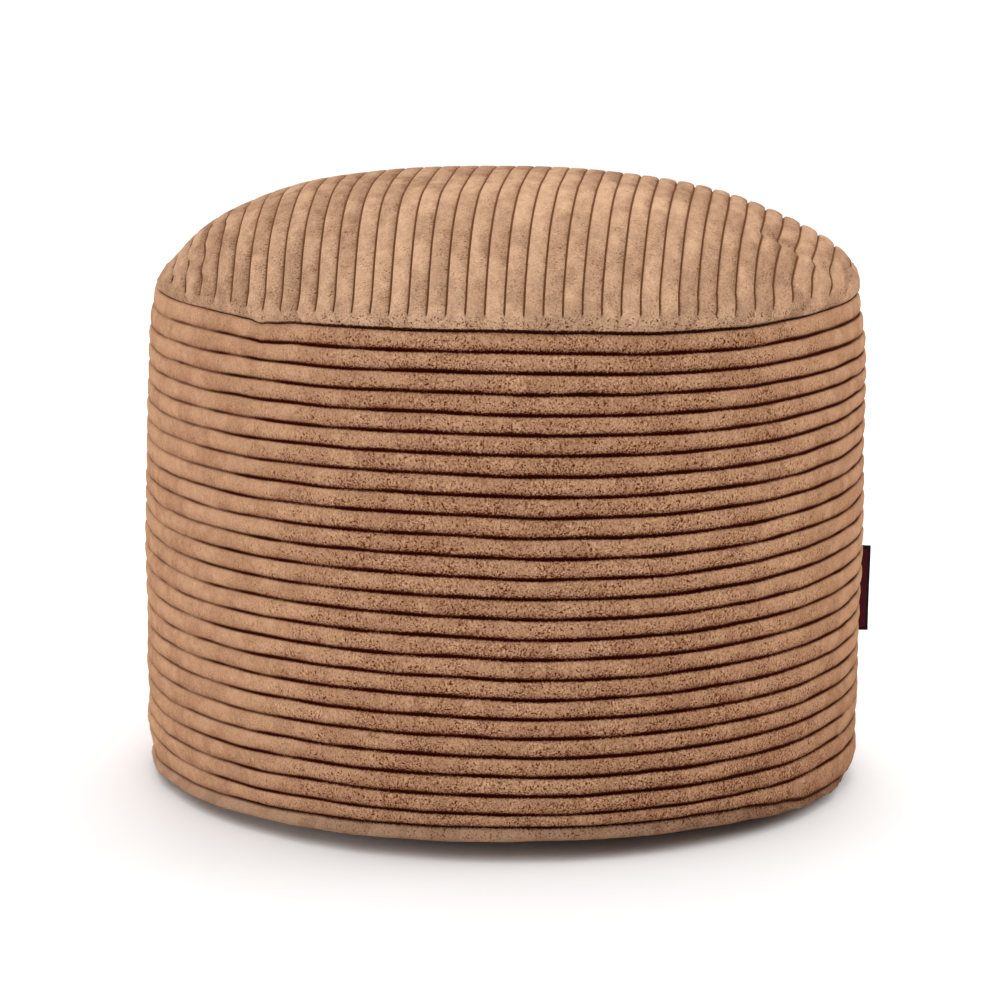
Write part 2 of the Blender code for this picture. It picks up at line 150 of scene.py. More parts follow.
# --- The domed top panel ---
DOME_RADIUS = 0.2452
DOME_RISE = 0.0742
DOME_POWER = 3.94
DOME_SOFTNESS = 0.81
POWER_LEAN = -0.433
SOFTNESS_LEAN = -0.295
POWER_FRONT = 0.044
DOME_TIP = 0.030
DOME_TIP_FADE_POWER = 8
DOME_SHIFT_BACK = 0.0089
DOME_EDGE = 0.955
# The dome is a little hollow on its left and right slopes: depth, and place as
# a share of its radius.
LEFT_HOLLOW = 0.0026
LEFT_HOLLOW_PLACE = 0.74
RIGHT_HOLLOW = 0.0018
RIGHT_HOLLOW_PLACE = 0.79
HOLLOW_WIDTH = 0.13
ROLL_START_PULL = 0.012
ROLL_END_PULL = 0.013
ROLL_END_ANGLE = math.radians(50)
SEAM_BLEND_POWER = 12
TOP_WALE_PITCH = 0.01261
TOP_WALE_PHASE = 0.146
TOP_WALE_COUNT = 19
TOP_WALE_TURN = math.radians(3.1)
TOP_WALE_CENTRE = -0.0026
FAN_MIDDLE = 0.035
FAN_BACK = 0.053
FAN_LEFT = 0.024
FAN_RIGHT = 0.040
FAN_RISE = 3
FAN_FALL = 8
FAN_START = -0.60
FAN_FADE = 0.45
SIDE_SQUEEZE = 0.067
SIDE_SQUEEZE_POWER = 1.6
EDGE_REACH = DOME_EDGE * DOME_RADIUS
ROLL_LENGTH = 0.013
PANEL_SHARE = 0.76
LINE_END = 0.99
GROOVE_END_UNEVEN = 0.10
GROOVE_END_FADE = 0.0028
BAND_RISE = 0.0005
BAND_EDGE = 0.0090
TOP_GROOVE_DEPTH = 0.0018
TOP_PROFILE = (
    (0.0, 1.0), (0.035, 0.74), (0.07, 0.24), (0.12, 0.05), (0.28, 0.01), (0.5, 0.0),
    (0.72, 0.01), (0.88, 0.05), (0.93, 0.24), (0.965, 0.74),
)
# Towards the right the wales are rounder.
ROUND_DEPTH = 0.0011
ROUND_START = 0.060
ROUND_FADE = 0.080

# --- The base panel ---
CONTACT_RADIUS = 0.190
RIM_RADIUS = 0.240
INNER_RIM_SHARE = 0.98
UNDERSIDE_POWER = 1.3
# Where the panel's edge is lower than this, it puffs out less.
BASE_ROLL_HEIGHT = 0.0060
BASE_ROLL_START_PULL = 0.008
BASE_ROLL_END_PULL = 0.008
BASE_ROLL_END_ANGLE = math.radians(60)
BASE_GROOVE_DEPTH = 0.0012
BASE_LINE_END = 0.985
BASE_GROOVE_END = 0.228
FIRST_COUNT = 40
BASE_PROFILE = ((0.00, 1.00), (0.10, 0.35), (0.50, 0.00), (0.90, 0.35))

# --- The side seam and its tab ---
SIDE_SEAM_AZIMUTH = 90.0
CHANNEL_DEPTH = 0.0030
CHANNEL_WIDTH = 0.0012
SEAM_HOLLOW_DEPTH = 0.0014
SEAM_HOLLOW_WIDTH = 0.0065
WALE_MISMATCH = 0.0007
MISMATCH_REACH = 0.03
# Columns beside the seam, in degrees from it.
SEAM_COLUMNS = (-2.0, -1.3, -0.8, -0.45, -0.2, 0.0, 0.2, 0.45, 0.8, 1.3, 2.0)
TAB_SELVEDGE = 0.0021
TAB_HALF_THICKNESS = 0.0010
TAB_SLOT = 0.2 * TAB_HALF_THICKNESS
TAB_WAVE = 0.0005
TAB_ROWS = 40

# --- Unevenness ---
LUMP_DEPTH = 0.0010
SMALL_LUMP_DEPTH = 0.35 * LUMP_DEPTH
WANDER = 0.00030
TOP_WANDER = 0.00022
SHOULDER_WOBBLE = 0.0013
WOBBLE_START = 0.165
WOBBLE_FADE = 0.040
BROKEN_SHARE = 0.75
SHOULDER_OPENING = 0.80
CREST_UNEVEN = 0.00022
GROOVE_UNEVEN = 0.16
TOP_CREST_UNEVEN = 0.00008
TOP_LUMP_DEPTH = 0.0006
PUCKER_DEPTH = 0.0007
FINE_PUCKER_DEPTH = 0.4 * PUCKER_DEPTH
BASE_PUCKERS = 0.7
PUCKER_REACH = 0.013
SPOT_SPREAD = 1.4
UNEVEN_SPAN = 0.6
NUB_DEPTH = 0.00045
# Soft spots where the side is pressed in (below 0) or stands prouder than its
# even form: azimuth, height, how proud, half width in degrees, half height.
SIDE_SPOTS = (
    (-41, 0.325, -0.0024, 1.1, 0.011), (-88, 0.056, -0.0016, 9, 0.011),
    (37, 0.05, -0.0012, 4.5, 0.007), (43, 0.026, -0.0014, 2.2, 0.006),
    (72, 0.05, -0.001, 7, 0.01), (150, 0.06, -0.0014, 8, 0.012),
    (-150, 0.315, -0.0012, 3, 0.016), (-128, 0.045, -0.0012, 6, 0.009),
    (82, 0.021, 0.003, 9, 0.0095), (-84, 0.034, 0.0016, 16, 0.011),
    (90, 0.308, 0.0014, 14, 0.015), (-88, 0.318, 0.0008, 14, 0.015),
    (60, 0.033, 0.0012, 7, 0.007),
)
# Where the side is drawn in with its base seam: as above, with depths above 0.
SEAM_PULLS = ((84, 0.003, 0.0052, 14, 0.0045),)
# The crease at the top right: its line in plan, and how the cloth lies there.
CREASE_LINE = (
    (0.156, -0.093), (0.1665, -0.099), (0.1884, -0.1051), (0.2003, -0.1025), (0.2111, -0.1),
    (0.222, -0.0861), (0.23, -0.074),
)
CREASE_DEPTH = 0.0017
CREASE_HALF_WIDTH = 0.0052
CREASE_FADE = 0.020
# Below the crease the wales lie further right, and above it further left.
CREASE_JOG = 0.0015
CREASE_JOG_REACH = 0.050
CREASE_LEAN = 0.0016
CREASE_LEAN_REACH = 0.026
CREASE_TURN = 0.006

# --- Mesh steps ---
EVEN_COLUMNS = 420
SMALL_STEP = 0.004
TINY_REACH = 0.001
CROWN_STEPS = (0.32, 0.55, 0.73, 0.86, 0.94, 1.0, 2.0)
ROLL_ROWS = 6
UNDERSIDE_ROWS = 9
FOOT_STEPS = (0.50, 0.80, 0.91, 1.0, 2.0)
LINE_STEP = 0.0034
BASE_LINE_STEP = 0.012
SOLVING_ROUNDS = 12
MERGE_DISTANCE = 1e-6
RIM_HOLD = 0.02
MILLIMETRES = 1000.0


# --- Small tools ---
def smoothstep(share):
    share = np.clip(share, 0.0, 1.0)
    return share * share * (3.0 - 2.0 * share)


def turned(degrees):
    """Azimuths from -180 up to 180."""
    return (np.asarray(degrees) + 180.0) % 360.0 - 180.0


def read_table(rows, degrees, column=1):
    """Read a table of rows sorted by azimuth, easing from row to row."""
    places = np.array([row[0] for row in rows], float)
    values = np.array([row[column] for row in rows], float)
    azimuth = turned(degrees)
    low = np.clip(np.searchsorted(places, azimuth, side="right") - 1, 0, len(rows) - 2)
    share = smoothstep((azimuth - places[low]) / (places[low + 1] - places[low]))
    return values[low] + share * (values[low + 1] - values[low])


def uneven_table(seed, around, up):
    return np.random.default_rng(seed).uniform(-1.0, 1.0, (around, up))


def cubic_weights(share):
    return (
        -0.5 * share + share**2 - 0.5 * share**3,
        1.0 - 2.5 * share**2 + 1.5 * share**3,
        0.5 * share + 2.0 * share**2 - 1.5 * share**3,
        -0.5 * share**2 + 0.5 * share**3,
    )


def read_uneven(table, around, up):
    """Smooth unevenness from -1 to 1. The first axis closes on itself."""
    rows, columns = table.shape
    place = np.asarray(around) % 1.0 * rows
    row = np.floor(place).astype(int)
    height = np.clip(up, 0.0, 1.0) * (columns - 1)
    column = np.clip(np.floor(height).astype(int), 0, columns - 2)
    total = 0.0
    for i, row_weight in enumerate(cubic_weights(place - row)):
        for j, column_weight in enumerate(cubic_weights(height - column)):
            beside = np.clip(column + j - 1, 0, columns - 1)
            total = total + row_weight * column_weight * table[(row + i - 1) % rows, beside]
    return total


LUMPS = uneven_table(11, 20, 7)
SMALL_LUMPS = uneven_table(12, 56, 14)
WANDERING = uneven_table(13, 64, SIDE_WALES + 1)
CRESTS = uneven_table(14, 150, SIDE_WALES * 2 + 1)
PUCKERS = uneven_table(15, 76, 5)
FINE_PUCKERS = uneven_table(16, 170, 5)
NUBS = uneven_table(17, 330, 12)
TOP_LUMPS = uneven_table(18, 12, 12)
TOP_WANDERING = uneven_table(19, 16, 16)
TOP_CRESTS = uneven_table(20, 60, 60)
ENDS = uneven_table(21, 90, 3)
WOBBLES = uneven_table(22, 48, 48)
GROOVE_WIDTHS = uneven_table(23, 96, SIDE_WALES + 1)
BREAKS = uneven_table(24, 64, 44)


def columns():
    """Azimuths in degrees round the drum, starting at the side seam."""
    edge = SEAM_COLUMNS[-1]
    even = np.linspace(edge, 360.0 - edge, EVEN_COLUMNS - len(SEAM_COLUMNS) + 2)
    beside = [offset % 360.0 for offset in SEAM_COLUMNS if abs(offset) < edge]
    return SIDE_SEAM_AZIMUTH + np.array(sorted([*even, *beside]))


COLUMNS = columns()


def on_drum(degrees, section, back=0.0):
    """Places from radii and heights at azimuths, moved back by a length."""
    azimuth = np.radians(degrees)
    x = section[..., 0] * np.sin(azimuth)
    y = back - section[..., 0] * np.cos(azimuth)
    return np.stack([x, y, section[..., 1]], axis=-1)


def circle(radius):
    """A ring in plan."""
    azimuth = np.radians(COLUMNS)
    return radius * np.stack([np.sin(azimuth), -np.cos(azimuth)], axis=-1)


OPENNESS = read_table(GROOVE_OPENNESS, COLUMNS)
SEAM_LINE_OPENNESS = read_table(SEAM_OPENNESS, COLUMNS)


# --- The side ---
def wall_radius(height):
    """Radius at the crest of the wales."""
    up = np.clip((height - FULLEST_HEIGHT) / (TOP_SEAM_MEAN - FULLEST_HEIGHT), 0.0, None)
    down = np.clip((FULLEST_HEIGHT - height) / (FULLEST_HEIGHT - BASE_SEAM_MEAN), 0.0, None)
    high = TOP_TAPER * up**2 + TOP_TURN_IN * up**TOP_TURN_POWER
    low = BASE_TAPER * down**2 + BASE_TURN_IN * np.minimum(down, 1.0) ** BASE_TURN_POWER
    return RADIUS - high - low


def wale_line_height(wale, degrees):
    """Height of a place on the side, counted in wales down from the seam."""
    even = TOP_SEAM_MEAN - WALE_PITCH * wale
    drift = 0.0
    for column, one_line in enumerate(np.eye(len(DRIFT_WALES)), start=1):
        share = np.interp(wale, DRIFT_WALES, one_line) / MILLIMETRES
        drift = drift + share * read_table(WALE_DRIFT, degrees, column)
    around = turned(degrees) / 360.0
    inner = smoothstep(wale) * smoothstep(SIDE_WALES - wale)
    drift = drift + WANDER * inner * read_uneven(WANDERING, around, wale / SIDE_WALES)
    near_seam = smoothstep(1.0 - wale / WALES_THAT_FOLLOW_SEAM)
    top_shift = read_table(TOP_SEAM, degrees) - TOP_SEAM_MEAN
    last = SIDE_WALES - 1
    groove = TOP_SEAM_MEAN - WALE_PITCH * last + drift
    past_last = np.clip(wale - last, 0.0, 1.0)
    tail = groove + past_last * (read_table(BASE_SEAM, degrees) - groove)
    plain = even + drift + near_seam * (top_shift - drift)
    return np.where(wale > last, tail, plain)


def seam_distance(degrees):
    """Distance round the drum from the side seam, positive past it."""
    offset = turned(degrees - SIDE_SEAM_AZIMUTH)
    return np.radians(offset) * RADIUS


def soft_spots(rows, degrees, height):
    total = 0.0
    for azimuth, middle, depth, half_width, half_height in rows:
        across = turned(degrees - azimuth) / half_width
        up = (height - middle) / half_height
        total = total + depth * np.exp(-(across**2 + up**2) / SPOT_SPREAD)
    return total


def groove_strength(wale, degrees):
    """1 where a groove is open, less where the pile has closed it."""
    azimuth = turned(degrees)
    uneven = read_uneven(GROOVE_WIDTHS, azimuth / 360.0, wale / SIDE_WALES)
    strength = read_table(GROOVE_OPENNESS, degrees) * (1.0 + GROOVE_UNEVEN * uneven)
    for groove, start, end, share in CLOSED_GROOVES:
        near = np.clip(1.0 - np.abs(wale - groove), 0.0, 1.0) > 0.5
        inside = smoothstep((azimuth - start) / CLOSING_LENGTH)
        inside = inside * smoothstep((end - azimuth) / CLOSING_LENGTH)
        strength = strength * (1.0 - share * inside * near)
    return strength


def side_relief(wale, degrees, height):
    """How far the side stands proud of its even form, but for its grooves."""
    around = turned(degrees) / 360.0
    up = height / TOP_SEAM_MEAN
    down = wale / SIDE_WALES
    to_top = np.clip(TOP_SEAM_MEAN - height, 0.0, None)
    to_base = np.clip(height - BASE_SEAM_MEAN, 0.0, None)
    near = np.exp(-to_top / PUCKER_REACH) + BASE_PUCKERS * np.exp(-to_base / PUCKER_REACH)
    relief = 0.0
    for depth, table, place in (
        (LUMP_DEPTH, LUMPS, up),
        (SMALL_LUMP_DEPTH, SMALL_LUMPS, up),
        (CREST_UNEVEN, CRESTS, down),
        (PUCKER_DEPTH * near, PUCKERS, up),
        (FINE_PUCKER_DEPTH * near, FINE_PUCKERS, up),
    ):
        relief = relief + depth * read_uneven(table, around, place)
    relief = relief + soft_spots(SIDE_SPOTS, degrees, height)
    relief = relief - soft_spots(SEAM_PULLS, degrees, height)
    for depth, width in ((CHANNEL_DEPTH, CHANNEL_WIDTH), (SEAM_HOLLOW_DEPTH, SEAM_HOLLOW_WIDTH)):
        relief = relief - depth * np.exp(-((seam_distance(degrees) / width) ** 2))
    return relief


def side_mismatch(degrees):
    """The wales of the side panel's two ends don't quite meet at its seam."""
    away = seam_distance(degrees)
    fade = np.exp(-np.abs(away) / MISMATCH_REACH)
    return WALE_MISMATCH * np.tanh(away / CHANNEL_WIDTH) * fade


def side_rows():
    """Rings down the side: places, groove shares, 0 as none is plain, and wale."""
    rings = []
    counts = [(wale + place, depth) for wale in range(SIDE_WALES) for place, depth in SIDE_PROFILE]
    for wale, depth in counts[1:]:
        count = np.full(len(COLUMNS), wale)
        groove = depth * groove_strength(count, COLUMNS)
        if wale < 0.5:
            groove = groove * SEAM_LINE_OPENNESS
        inner = smoothstep(count) * smoothstep(SIDE_WALES - count)
        height = wale_line_height(count, COLUMNS) + inner * side_mismatch(COLUMNS)
        radius = wall_radius(height) + side_relief(count, COLUMNS, height)
        radius = radius + CREST_RISE - (GROOVE_DEPTH + CREST_RISE) * groove
        places = on_drum(COLUMNS, np.stack([radius, height], axis=-1))
        rings.append((places, groove, 0.0, wale))
    return rings


# --- Sections through the top and base panels ---
def soft_hollow(fraction, place, width):
    """1 at a place on the dome's slope, fading away on both sides of it."""
    return np.exp(-(((fraction - place) / width) ** 2))


def dome_section(fraction, degrees):
    """Radius and height of the dome at a share of its radius."""
    side = np.sin(np.radians(degrees))
    front = np.cos(np.radians(degrees))
    power = DOME_POWER * (1.0 + POWER_LEAN * side + POWER_FRONT * front)
    softness = DOME_SOFTNESS * (1.0 + SOFTNESS_LEAN * side)
    radius = DOME_RADIUS * fraction + 0.0 * side
    rise = DOME_RISE * (1.0 - fraction**power) ** softness
    tip = DOME_TIP * radius * side * (1.0 - fraction**DOME_TIP_FADE_POWER)
    seam_shift = read_table(TOP_SEAM, degrees) - TOP_SEAM_MEAN
    height = TOP_SEAM_MEAN + rise + tip + seam_shift * fraction**SEAM_BLEND_POWER
    sag = read_table(EDGE_SHAPE, degrees, SAG)
    height = height - sag * soft_hollow(fraction, DOME_EDGE, SAG_WIDTH)
    left = LEFT_HOLLOW * soft_hollow(fraction, LEFT_HOLLOW_PLACE, HOLLOW_WIDTH)
    right = RIGHT_HOLLOW * soft_hollow(fraction, RIGHT_HOLLOW_PLACE, HOLLOW_WIDTH)
    height = height - side**2 * np.where(side < 0.0, left, right)
    return np.stack(np.broadcast_arrays(radius, height), axis=-1)


def unit(vectors):
    return vectors / np.linalg.norm(vectors, axis=-1, keepdims=True)


def rolled_edge(start, before, end, pulls, end_angle, share):
    """A puffed edge: from start, going on from before, tucked in at end."""
    start_pull = unit(start - before) * pulls[0][..., None]
    rise = np.sign(end[..., 1] - start[..., 1])
    turn = np.stack([-math.cos(end_angle) + 0.0 * rise, math.sin(end_angle) * rise], axis=-1)
    end_pull = turn * pulls[1][..., None]
    cube, square = share**3, share**2
    point = start * (2 * cube - 3 * square + 1) + end * (3 * square - 2 * cube)
    return point + 3 * start_pull * (cube - 2 * square + share) + 3 * end_pull * (cube - square)


def seam_valley(degrees, seam):
    height = read_table(seam, degrees)
    depth = SEAM_DEPTH * read_table(GROOVE_OPENNESS, degrees)
    depth = depth + soft_spots(SEAM_PULLS, degrees, height)
    return np.stack([wall_radius(height) - depth, height], axis=-1)


def underside_section(step, degrees):
    """The flat foot and its upturned rim, for steps 0 to 1."""
    radius = RIM_RADIUS * step + 0.0 * np.asarray(degrees)
    share = np.clip((radius - CONTACT_RADIUS) / (RIM_RADIUS - CONTACT_RADIUS), 0.0, None)
    height = read_table(BASE_SEAM, degrees, RIM_HEIGHT) * share**UNDERSIDE_POWER
    return np.stack([radius, height], axis=-1)


def base_section(step, degrees):
    """The foot for steps 0 to 1, then the panel's rolled edge for 1 to 2."""
    if step <= 1.0:
        return underside_section(step, degrees)
    start = underside_section(1.0, degrees)
    before = underside_section(1.0 - SMALL_STEP, degrees)
    end = seam_valley(degrees, BASE_SEAM)
    fullness = np.minimum((end[:, 1] - start[:, 1]) / BASE_ROLL_HEIGHT, 1.0)
    pulls = (BASE_ROLL_START_PULL * fullness, BASE_ROLL_END_PULL * fullness)
    return rolled_edge(start, before, end, pulls, BASE_ROLL_END_ANGLE, step - 1.0)


def outward(section, low, high, degrees):
    """Directions square to a section between two places, away from the filling."""
    along = unit(section(high, degrees) - section(low, degrees))
    return np.stack([-along[..., 1], along[..., 0]], axis=-1)


def apex_shift(step):
    """The dome's top lies a little behind the drum's axis."""
    past_edge = np.maximum(step - 1.0, 0.0)
    fraction = np.minimum(step, 1.0) * DOME_EDGE + past_edge * (1.0 - DOME_EDGE)
    return DOME_SHIFT_BACK * (1.0 - fraction**2)


def top_ring(step, clearance):
    """The top panel's inner face, and the crown that clears it, to the seam."""
    if step <= 1.0:
        fraction = step * DOME_EDGE
        normal = outward(dome_section, max(fraction - SMALL_STEP, 0.0), fraction, COLUMNS)
        section = dome_section(fraction, COLUMNS) - normal * (CLOTH + clearance)
    else:
        section = seam_valley(COLUMNS, TOP_SEAM) - (SEAM_ALLOWANCE + clearance, clearance)
    return on_drum(COLUMNS, section, apex_shift(step))


def foot_ring(step, clearance):
    """The base panel's inner face, and the foot that clears it, to the seam."""
    if step <= 1.0:
        section = underside_section(step * INNER_RIM_SHARE, COLUMNS)
        section = section + (-clearance, BASE_CLOTH + clearance)
    else:
        section = seam_valley(COLUMNS, BASE_SEAM) - (SEAM_ALLOWANCE + clearance, -clearance)
    return on_drum(COLUMNS, section)


def valley_ring(seam, rise):
    """The bottom of a seam's groove, raised or lowered off the seam."""
    return on_drum(COLUMNS, seam_valley(COLUMNS, seam) + (0.0, rise))


# --- Mesh making ---
def add_object(name, data):
    thing = bpy.data.objects.new(name, data)
    bpy.context.scene.collection.objects.link(thing)
    return thing


class Cloth:
    """A mesh in the making, with cloth coordinates for each face corner."""

    def __init__(self):
        self.points = []
        self.grooves = []
        self.plains = []
        self.faces = []
        self.corners = []

    def add_points(self, places, groove=0.0, plain=0.0):
        """Add points and return their numbers. Plain is 1 where no wale shows."""
        first = len(self.points)
        self.points.extend(map(tuple, places))
        self.grooves.extend(np.broadcast_to(groove, len(places)).tolist())
        self.plains.extend(np.broadcast_to(plain, len(places)).tolist())
        return list(range(first, first + len(places)))

    def add_face(self, numbers, corners):
        self.faces.append(numbers)
        self.corners.extend(corners)

    def skin(self, rings):
        """Quads from ring to ring, down the outside.

        A ring is its points' numbers and its cloth coordinates, with another
        pair at the end for where the ring closes.
        """
        for (upper, above), (lower, below) in zip(rings, rings[1:]):
            for step in range(len(upper)):
                after = (step + 1) % len(upper)
                corners = (above[step], below[step], below[step + 1], above[step + 1])
                self.add_face((upper[step], lower[step], lower[after], upper[after]), corners)

    def add_lining(self, edge, rings):
        """Plain rings of an inner face, going on from its edge at the seam."""
        numbers = [edge, *(self.add_points(places, plain=1.0) for places in rings)]
        return [(ring, drum_coordinates(0.0)) for ring in numbers]

    def add_plan_faces(self, faces, plan):
        """Add faces over the first points, whose cloth lies as in plan."""
        coordinates = [tuple(place) for place in cloth_coordinates(plan).tolist()]
        for face in faces:
            self.add_face(tuple(face), [coordinates[corner] for corner in face])

    def fan(self, ring, place, flip=False):
        """Close a ring at a pole."""
        (pole,) = self.add_points([place], plain=1.0)
        for step in range(len(ring)):
            after = (step + 1) % len(ring)
            numbers = (ring[after], ring[step], pole) if flip else (ring[step], ring[after], pole)
            self.add_face(numbers, ((0.0, 0.0), (0.0, 0.0), (0.0, 0.0)))

    def make(self, name):
        data = bpy.data.meshes.new(name)
        data.from_pydata(self.points, [], self.faces)
        layer = data.uv_layers.new(name="cloth")
        layer.data.foreach_set("uv", np.array(self.corners, np.float32).ravel())
        for attribute_name, values in (("groove", self.grooves), ("plain", self.plains)):
            attribute = data.attributes.new(attribute_name, "FLOAT", "POINT")
            attribute.data.foreach_set("value", np.array(values, np.float32))
        data.shade_smooth()
        data.validate()
        return add_object(name, data)


def drum_coordinates(wale):
    """Distance round the drum, and the count of wales, along a closed ring."""
    around = np.radians(COLUMNS - SIDE_SEAM_AZIMUTH) * RADIUS
    return [(distance, wale) for distance in (*around.tolist(), 2.0 * math.pi * RADIUS)]


def make_body():
    """The filled drum: wales on its side, a plain crown and foot inside."""
    rows = [(top_ring(step, GAP), 0.0, 1.0, 0.0) for step in CROWN_STEPS]
    rows.append((valley_ring(TOP_SEAM, -GAP), OPENNESS, 0.0, 0.0))
    rows.extend(side_rows())
    rows.append((valley_ring(BASE_SEAM, GAP), OPENNESS, 0.0, SIDE_WALES))
    rows.extend((foot_ring(step, GAP), 0.0, 1.0, SIDE_WALES) for step in reversed(FOOT_STEPS))
    cloth = Cloth()
    rings = [(cloth.add_points(*points), drum_coordinates(wale)) for *points, wale in rows]
    cloth.skin(rings)
    apex = dome_section(0.0, np.zeros(1))[0, 1] - CLOTH - GAP
    cloth.fan(rings[0][0], (0.0, apex_shift(0.0), apex))
    cloth.fan(rings[-1][0], (0.0, 0.0, BASE_CLOTH + GAP), flip=True)
    return cloth.make("filled_side")


# --- Wales of the round panels, in plan ---
def squeeze(offset):
    """How closely the wales lie towards the left and right."""
    return 1.0 + SIDE_SQUEEZE * abs(offset / DOME_RADIUS) ** SIDE_SQUEEZE_POWER


def wale_offset(count):
    """Distance from the middle wale line to a line, across the dome's plan."""
    target = TOP_WALE_PITCH * (count + TOP_WALE_PHASE)
    offset = target
    for _ in range(SOLVING_ROUNDS):
        offset = target / squeeze(offset)
    return offset


def fan_spread(offset, along):
    """How the wales fan out, more so behind and on the slopes beside the crown."""
    share = along / DOME_RADIUS
    out = np.minimum(np.abs(offset / DOME_RADIUS), 1.0)
    bulge = out**FAN_RISE * (1.0 - out**FAN_FALL) * smoothstep((share - FAN_START) / FAN_FADE)
    bulge = bulge * np.where(offset > 0.0, FAN_RIGHT, FAN_LEFT)
    return 1.0 + FAN_MIDDLE * (1.0 - share**2) + FAN_BACK * share + bulge


def wale_line_across(offset, along):
    """Where a wale line lies, across the wales, at a place along them."""
    return TOP_WALE_CENTRE + offset * fan_spread(offset, along)


def wale_line_end(offset, sign, reach):
    """How far along its length a line runs before it meets the rim."""
    along = 0.0
    for _ in range(SOLVING_ROUNDS):
        across = wale_line_across(offset, sign * along)
        along = math.sqrt(max(reach**2 - across**2, 0.0))
    return sign * along


def turn_plan(x, y, angle):
    cosine, sine = math.cos(angle), math.sin(angle)
    return np.stack([x * cosine + y * sine, y * cosine - x * sine], axis=-1)


def cloth_coordinates(plan):
    """Distance along the wales, and the count of wales, at places in plan."""
    across, along = turn_plan(plan[:, 0], plan[:, 1], -TOP_WALE_TURN).T
    offset = across - TOP_WALE_CENTRE
    for _ in range(SOLVING_ROUNDS):
        offset = (across - TOP_WALE_CENTRE) / fan_spread(offset, along)
    count = offset * squeeze(offset) / TOP_WALE_PITCH - TOP_WALE_PHASE
    return np.stack([along, count + FIRST_COUNT], axis=1)


def closed_coordinates(plan):
    """Cloth coordinates along a closed ring in plan."""
    return cloth_coordinates(np.append(plan, plan[:1], axis=0)).tolist()


def round_plan(rim_reach, line_end, profile, step):
    """A round panel in plan: its points, its faces, and its rim's points.

    Each point also gets its share of a groove's depth.
    """
    rim = circle(rim_reach)
    points = [tuple(place) for place in rim]
    depths = [0.0] * len(rim)
    edges = [(place, (place + 1) % len(rim)) for place in range(len(rim))]
    for wale in range(-TOP_WALE_COUNT, TOP_WALE_COUNT + 1):
        for place, depth in profile:
            offset = wale_offset(wale + place)
            front = wale_line_end(offset, -1.0, line_end * rim_reach)
            back = wale_line_end(offset, 1.0, line_end * rim_reach)
            if back - front < 4.0 * step:
                continue
            along = np.linspace(front, back, max(4, round((back - front) / step)))
            line = turn_plan(wale_line_across(offset, along), along, TOP_WALE_TURN)
            first = len(points)
            points.extend(map(tuple, line))
            depths.extend([depth] * len(line))
            edges.extend((first + spot, first + spot + 1) for spot in range(len(line) - 1))
    flat = [Vector(place) for place in points]
    places, _edges, faces, sources, _e, _f = delaunay_2d_cdt(flat, edges, [], 1, MERGE_DISTANCE)
    number = {source: place for place, found in enumerate(sources) for source in found}
    plan = np.array([tuple(place) for place in places])
    depths = np.array([depths[found[0]] if found else 0.0 for found in sources])
    return plan, depths, faces, [number[place] for place in range(len(rim))]


def polar(plan):
    """Distance from the middle and azimuth in degrees, at places in plan."""
    return np.linalg.norm(plan, axis=1), np.degrees(np.arctan2(plan[:, 0], -plan[:, 1]))


def plan_shares(plan):
    """Places in plan as shares of a square a little wider than the panel."""
    return 0.5 + plan[:, 0] / UNEVEN_SPAN, 0.5 + plan[:, 1] / UNEVEN_SPAN


def crease_shape(plan):
    """Depth of the crease and the cloth's jog beside it, in plan."""
    line = np.array(CREASE_LINE)
    best = np.full(len(plan), 9.0)
    side = np.zeros(len(plan))
    for start, end in zip(line, line[1:]):
        run = end - start
        share = np.clip(((plan - start) @ run) / (run @ run), 0.0, 1.0)
        away = plan - (start + share[:, None] * run)
        distance = np.linalg.norm(away, axis=1)
        closer = distance < best
        best = np.where(closer, distance, best)
        side = np.where(closer, away @ np.array([run[1], -run[0]]), side)
    signed = best * np.sign(side)
    fade_in = smoothstep((plan[:, 0] - line[0, 0]) / CREASE_FADE)
    depth = CREASE_DEPTH * np.exp(-((signed / CREASE_HALF_WIDTH) ** 2))
    past = smoothstep(signed / CREASE_TURN + 0.5)
    below = past * np.exp(-np.clip(signed, 0.0, None) / CREASE_JOG_REACH)
    above = (1.0 - past) * np.exp(-np.clip(-signed, 0.0, None) / CREASE_LEAN_REACH)
    return depth * fade_in, (CREASE_JOG * below - CREASE_LEAN * above) * fade_in


def top_profile(reach, degrees):
    """Radius and height of the top at a distance from its middle, in plan."""
    dome = dome_section(np.minimum(reach, EDGE_REACH) / DOME_RADIUS, degrees)
    share = roll_share(reach)
    start = dome_section(DOME_EDGE, degrees)
    before = dome_section(DOME_EDGE - SMALL_STEP, degrees)
    end = seam_valley(degrees, TOP_SEAM)
    fullness = read_table(EDGE_SHAPE, degrees, FULLNESS)
    pulls = (ROLL_START_PULL * fullness, ROLL_END_PULL * fullness)
    roll = rolled_edge(start, before, end, pulls, ROLL_END_ANGLE, share[:, None])
    return np.where((reach > EDGE_REACH)[:, None], roll, dome)


def roll_share(reach):
    return np.clip((reach - EDGE_REACH) / ROLL_LENGTH, 0.0, 1.0)


def edge_unevenness(around, share, seam):
    """Nubs and puckers of a puffed edge. The base seam is 0, the top seam 1."""
    nubs = NUB_DEPTH * read_uneven(NUBS, around, share)
    return nubs + PUCKER_DEPTH * read_uneven(PUCKERS, around, seam)


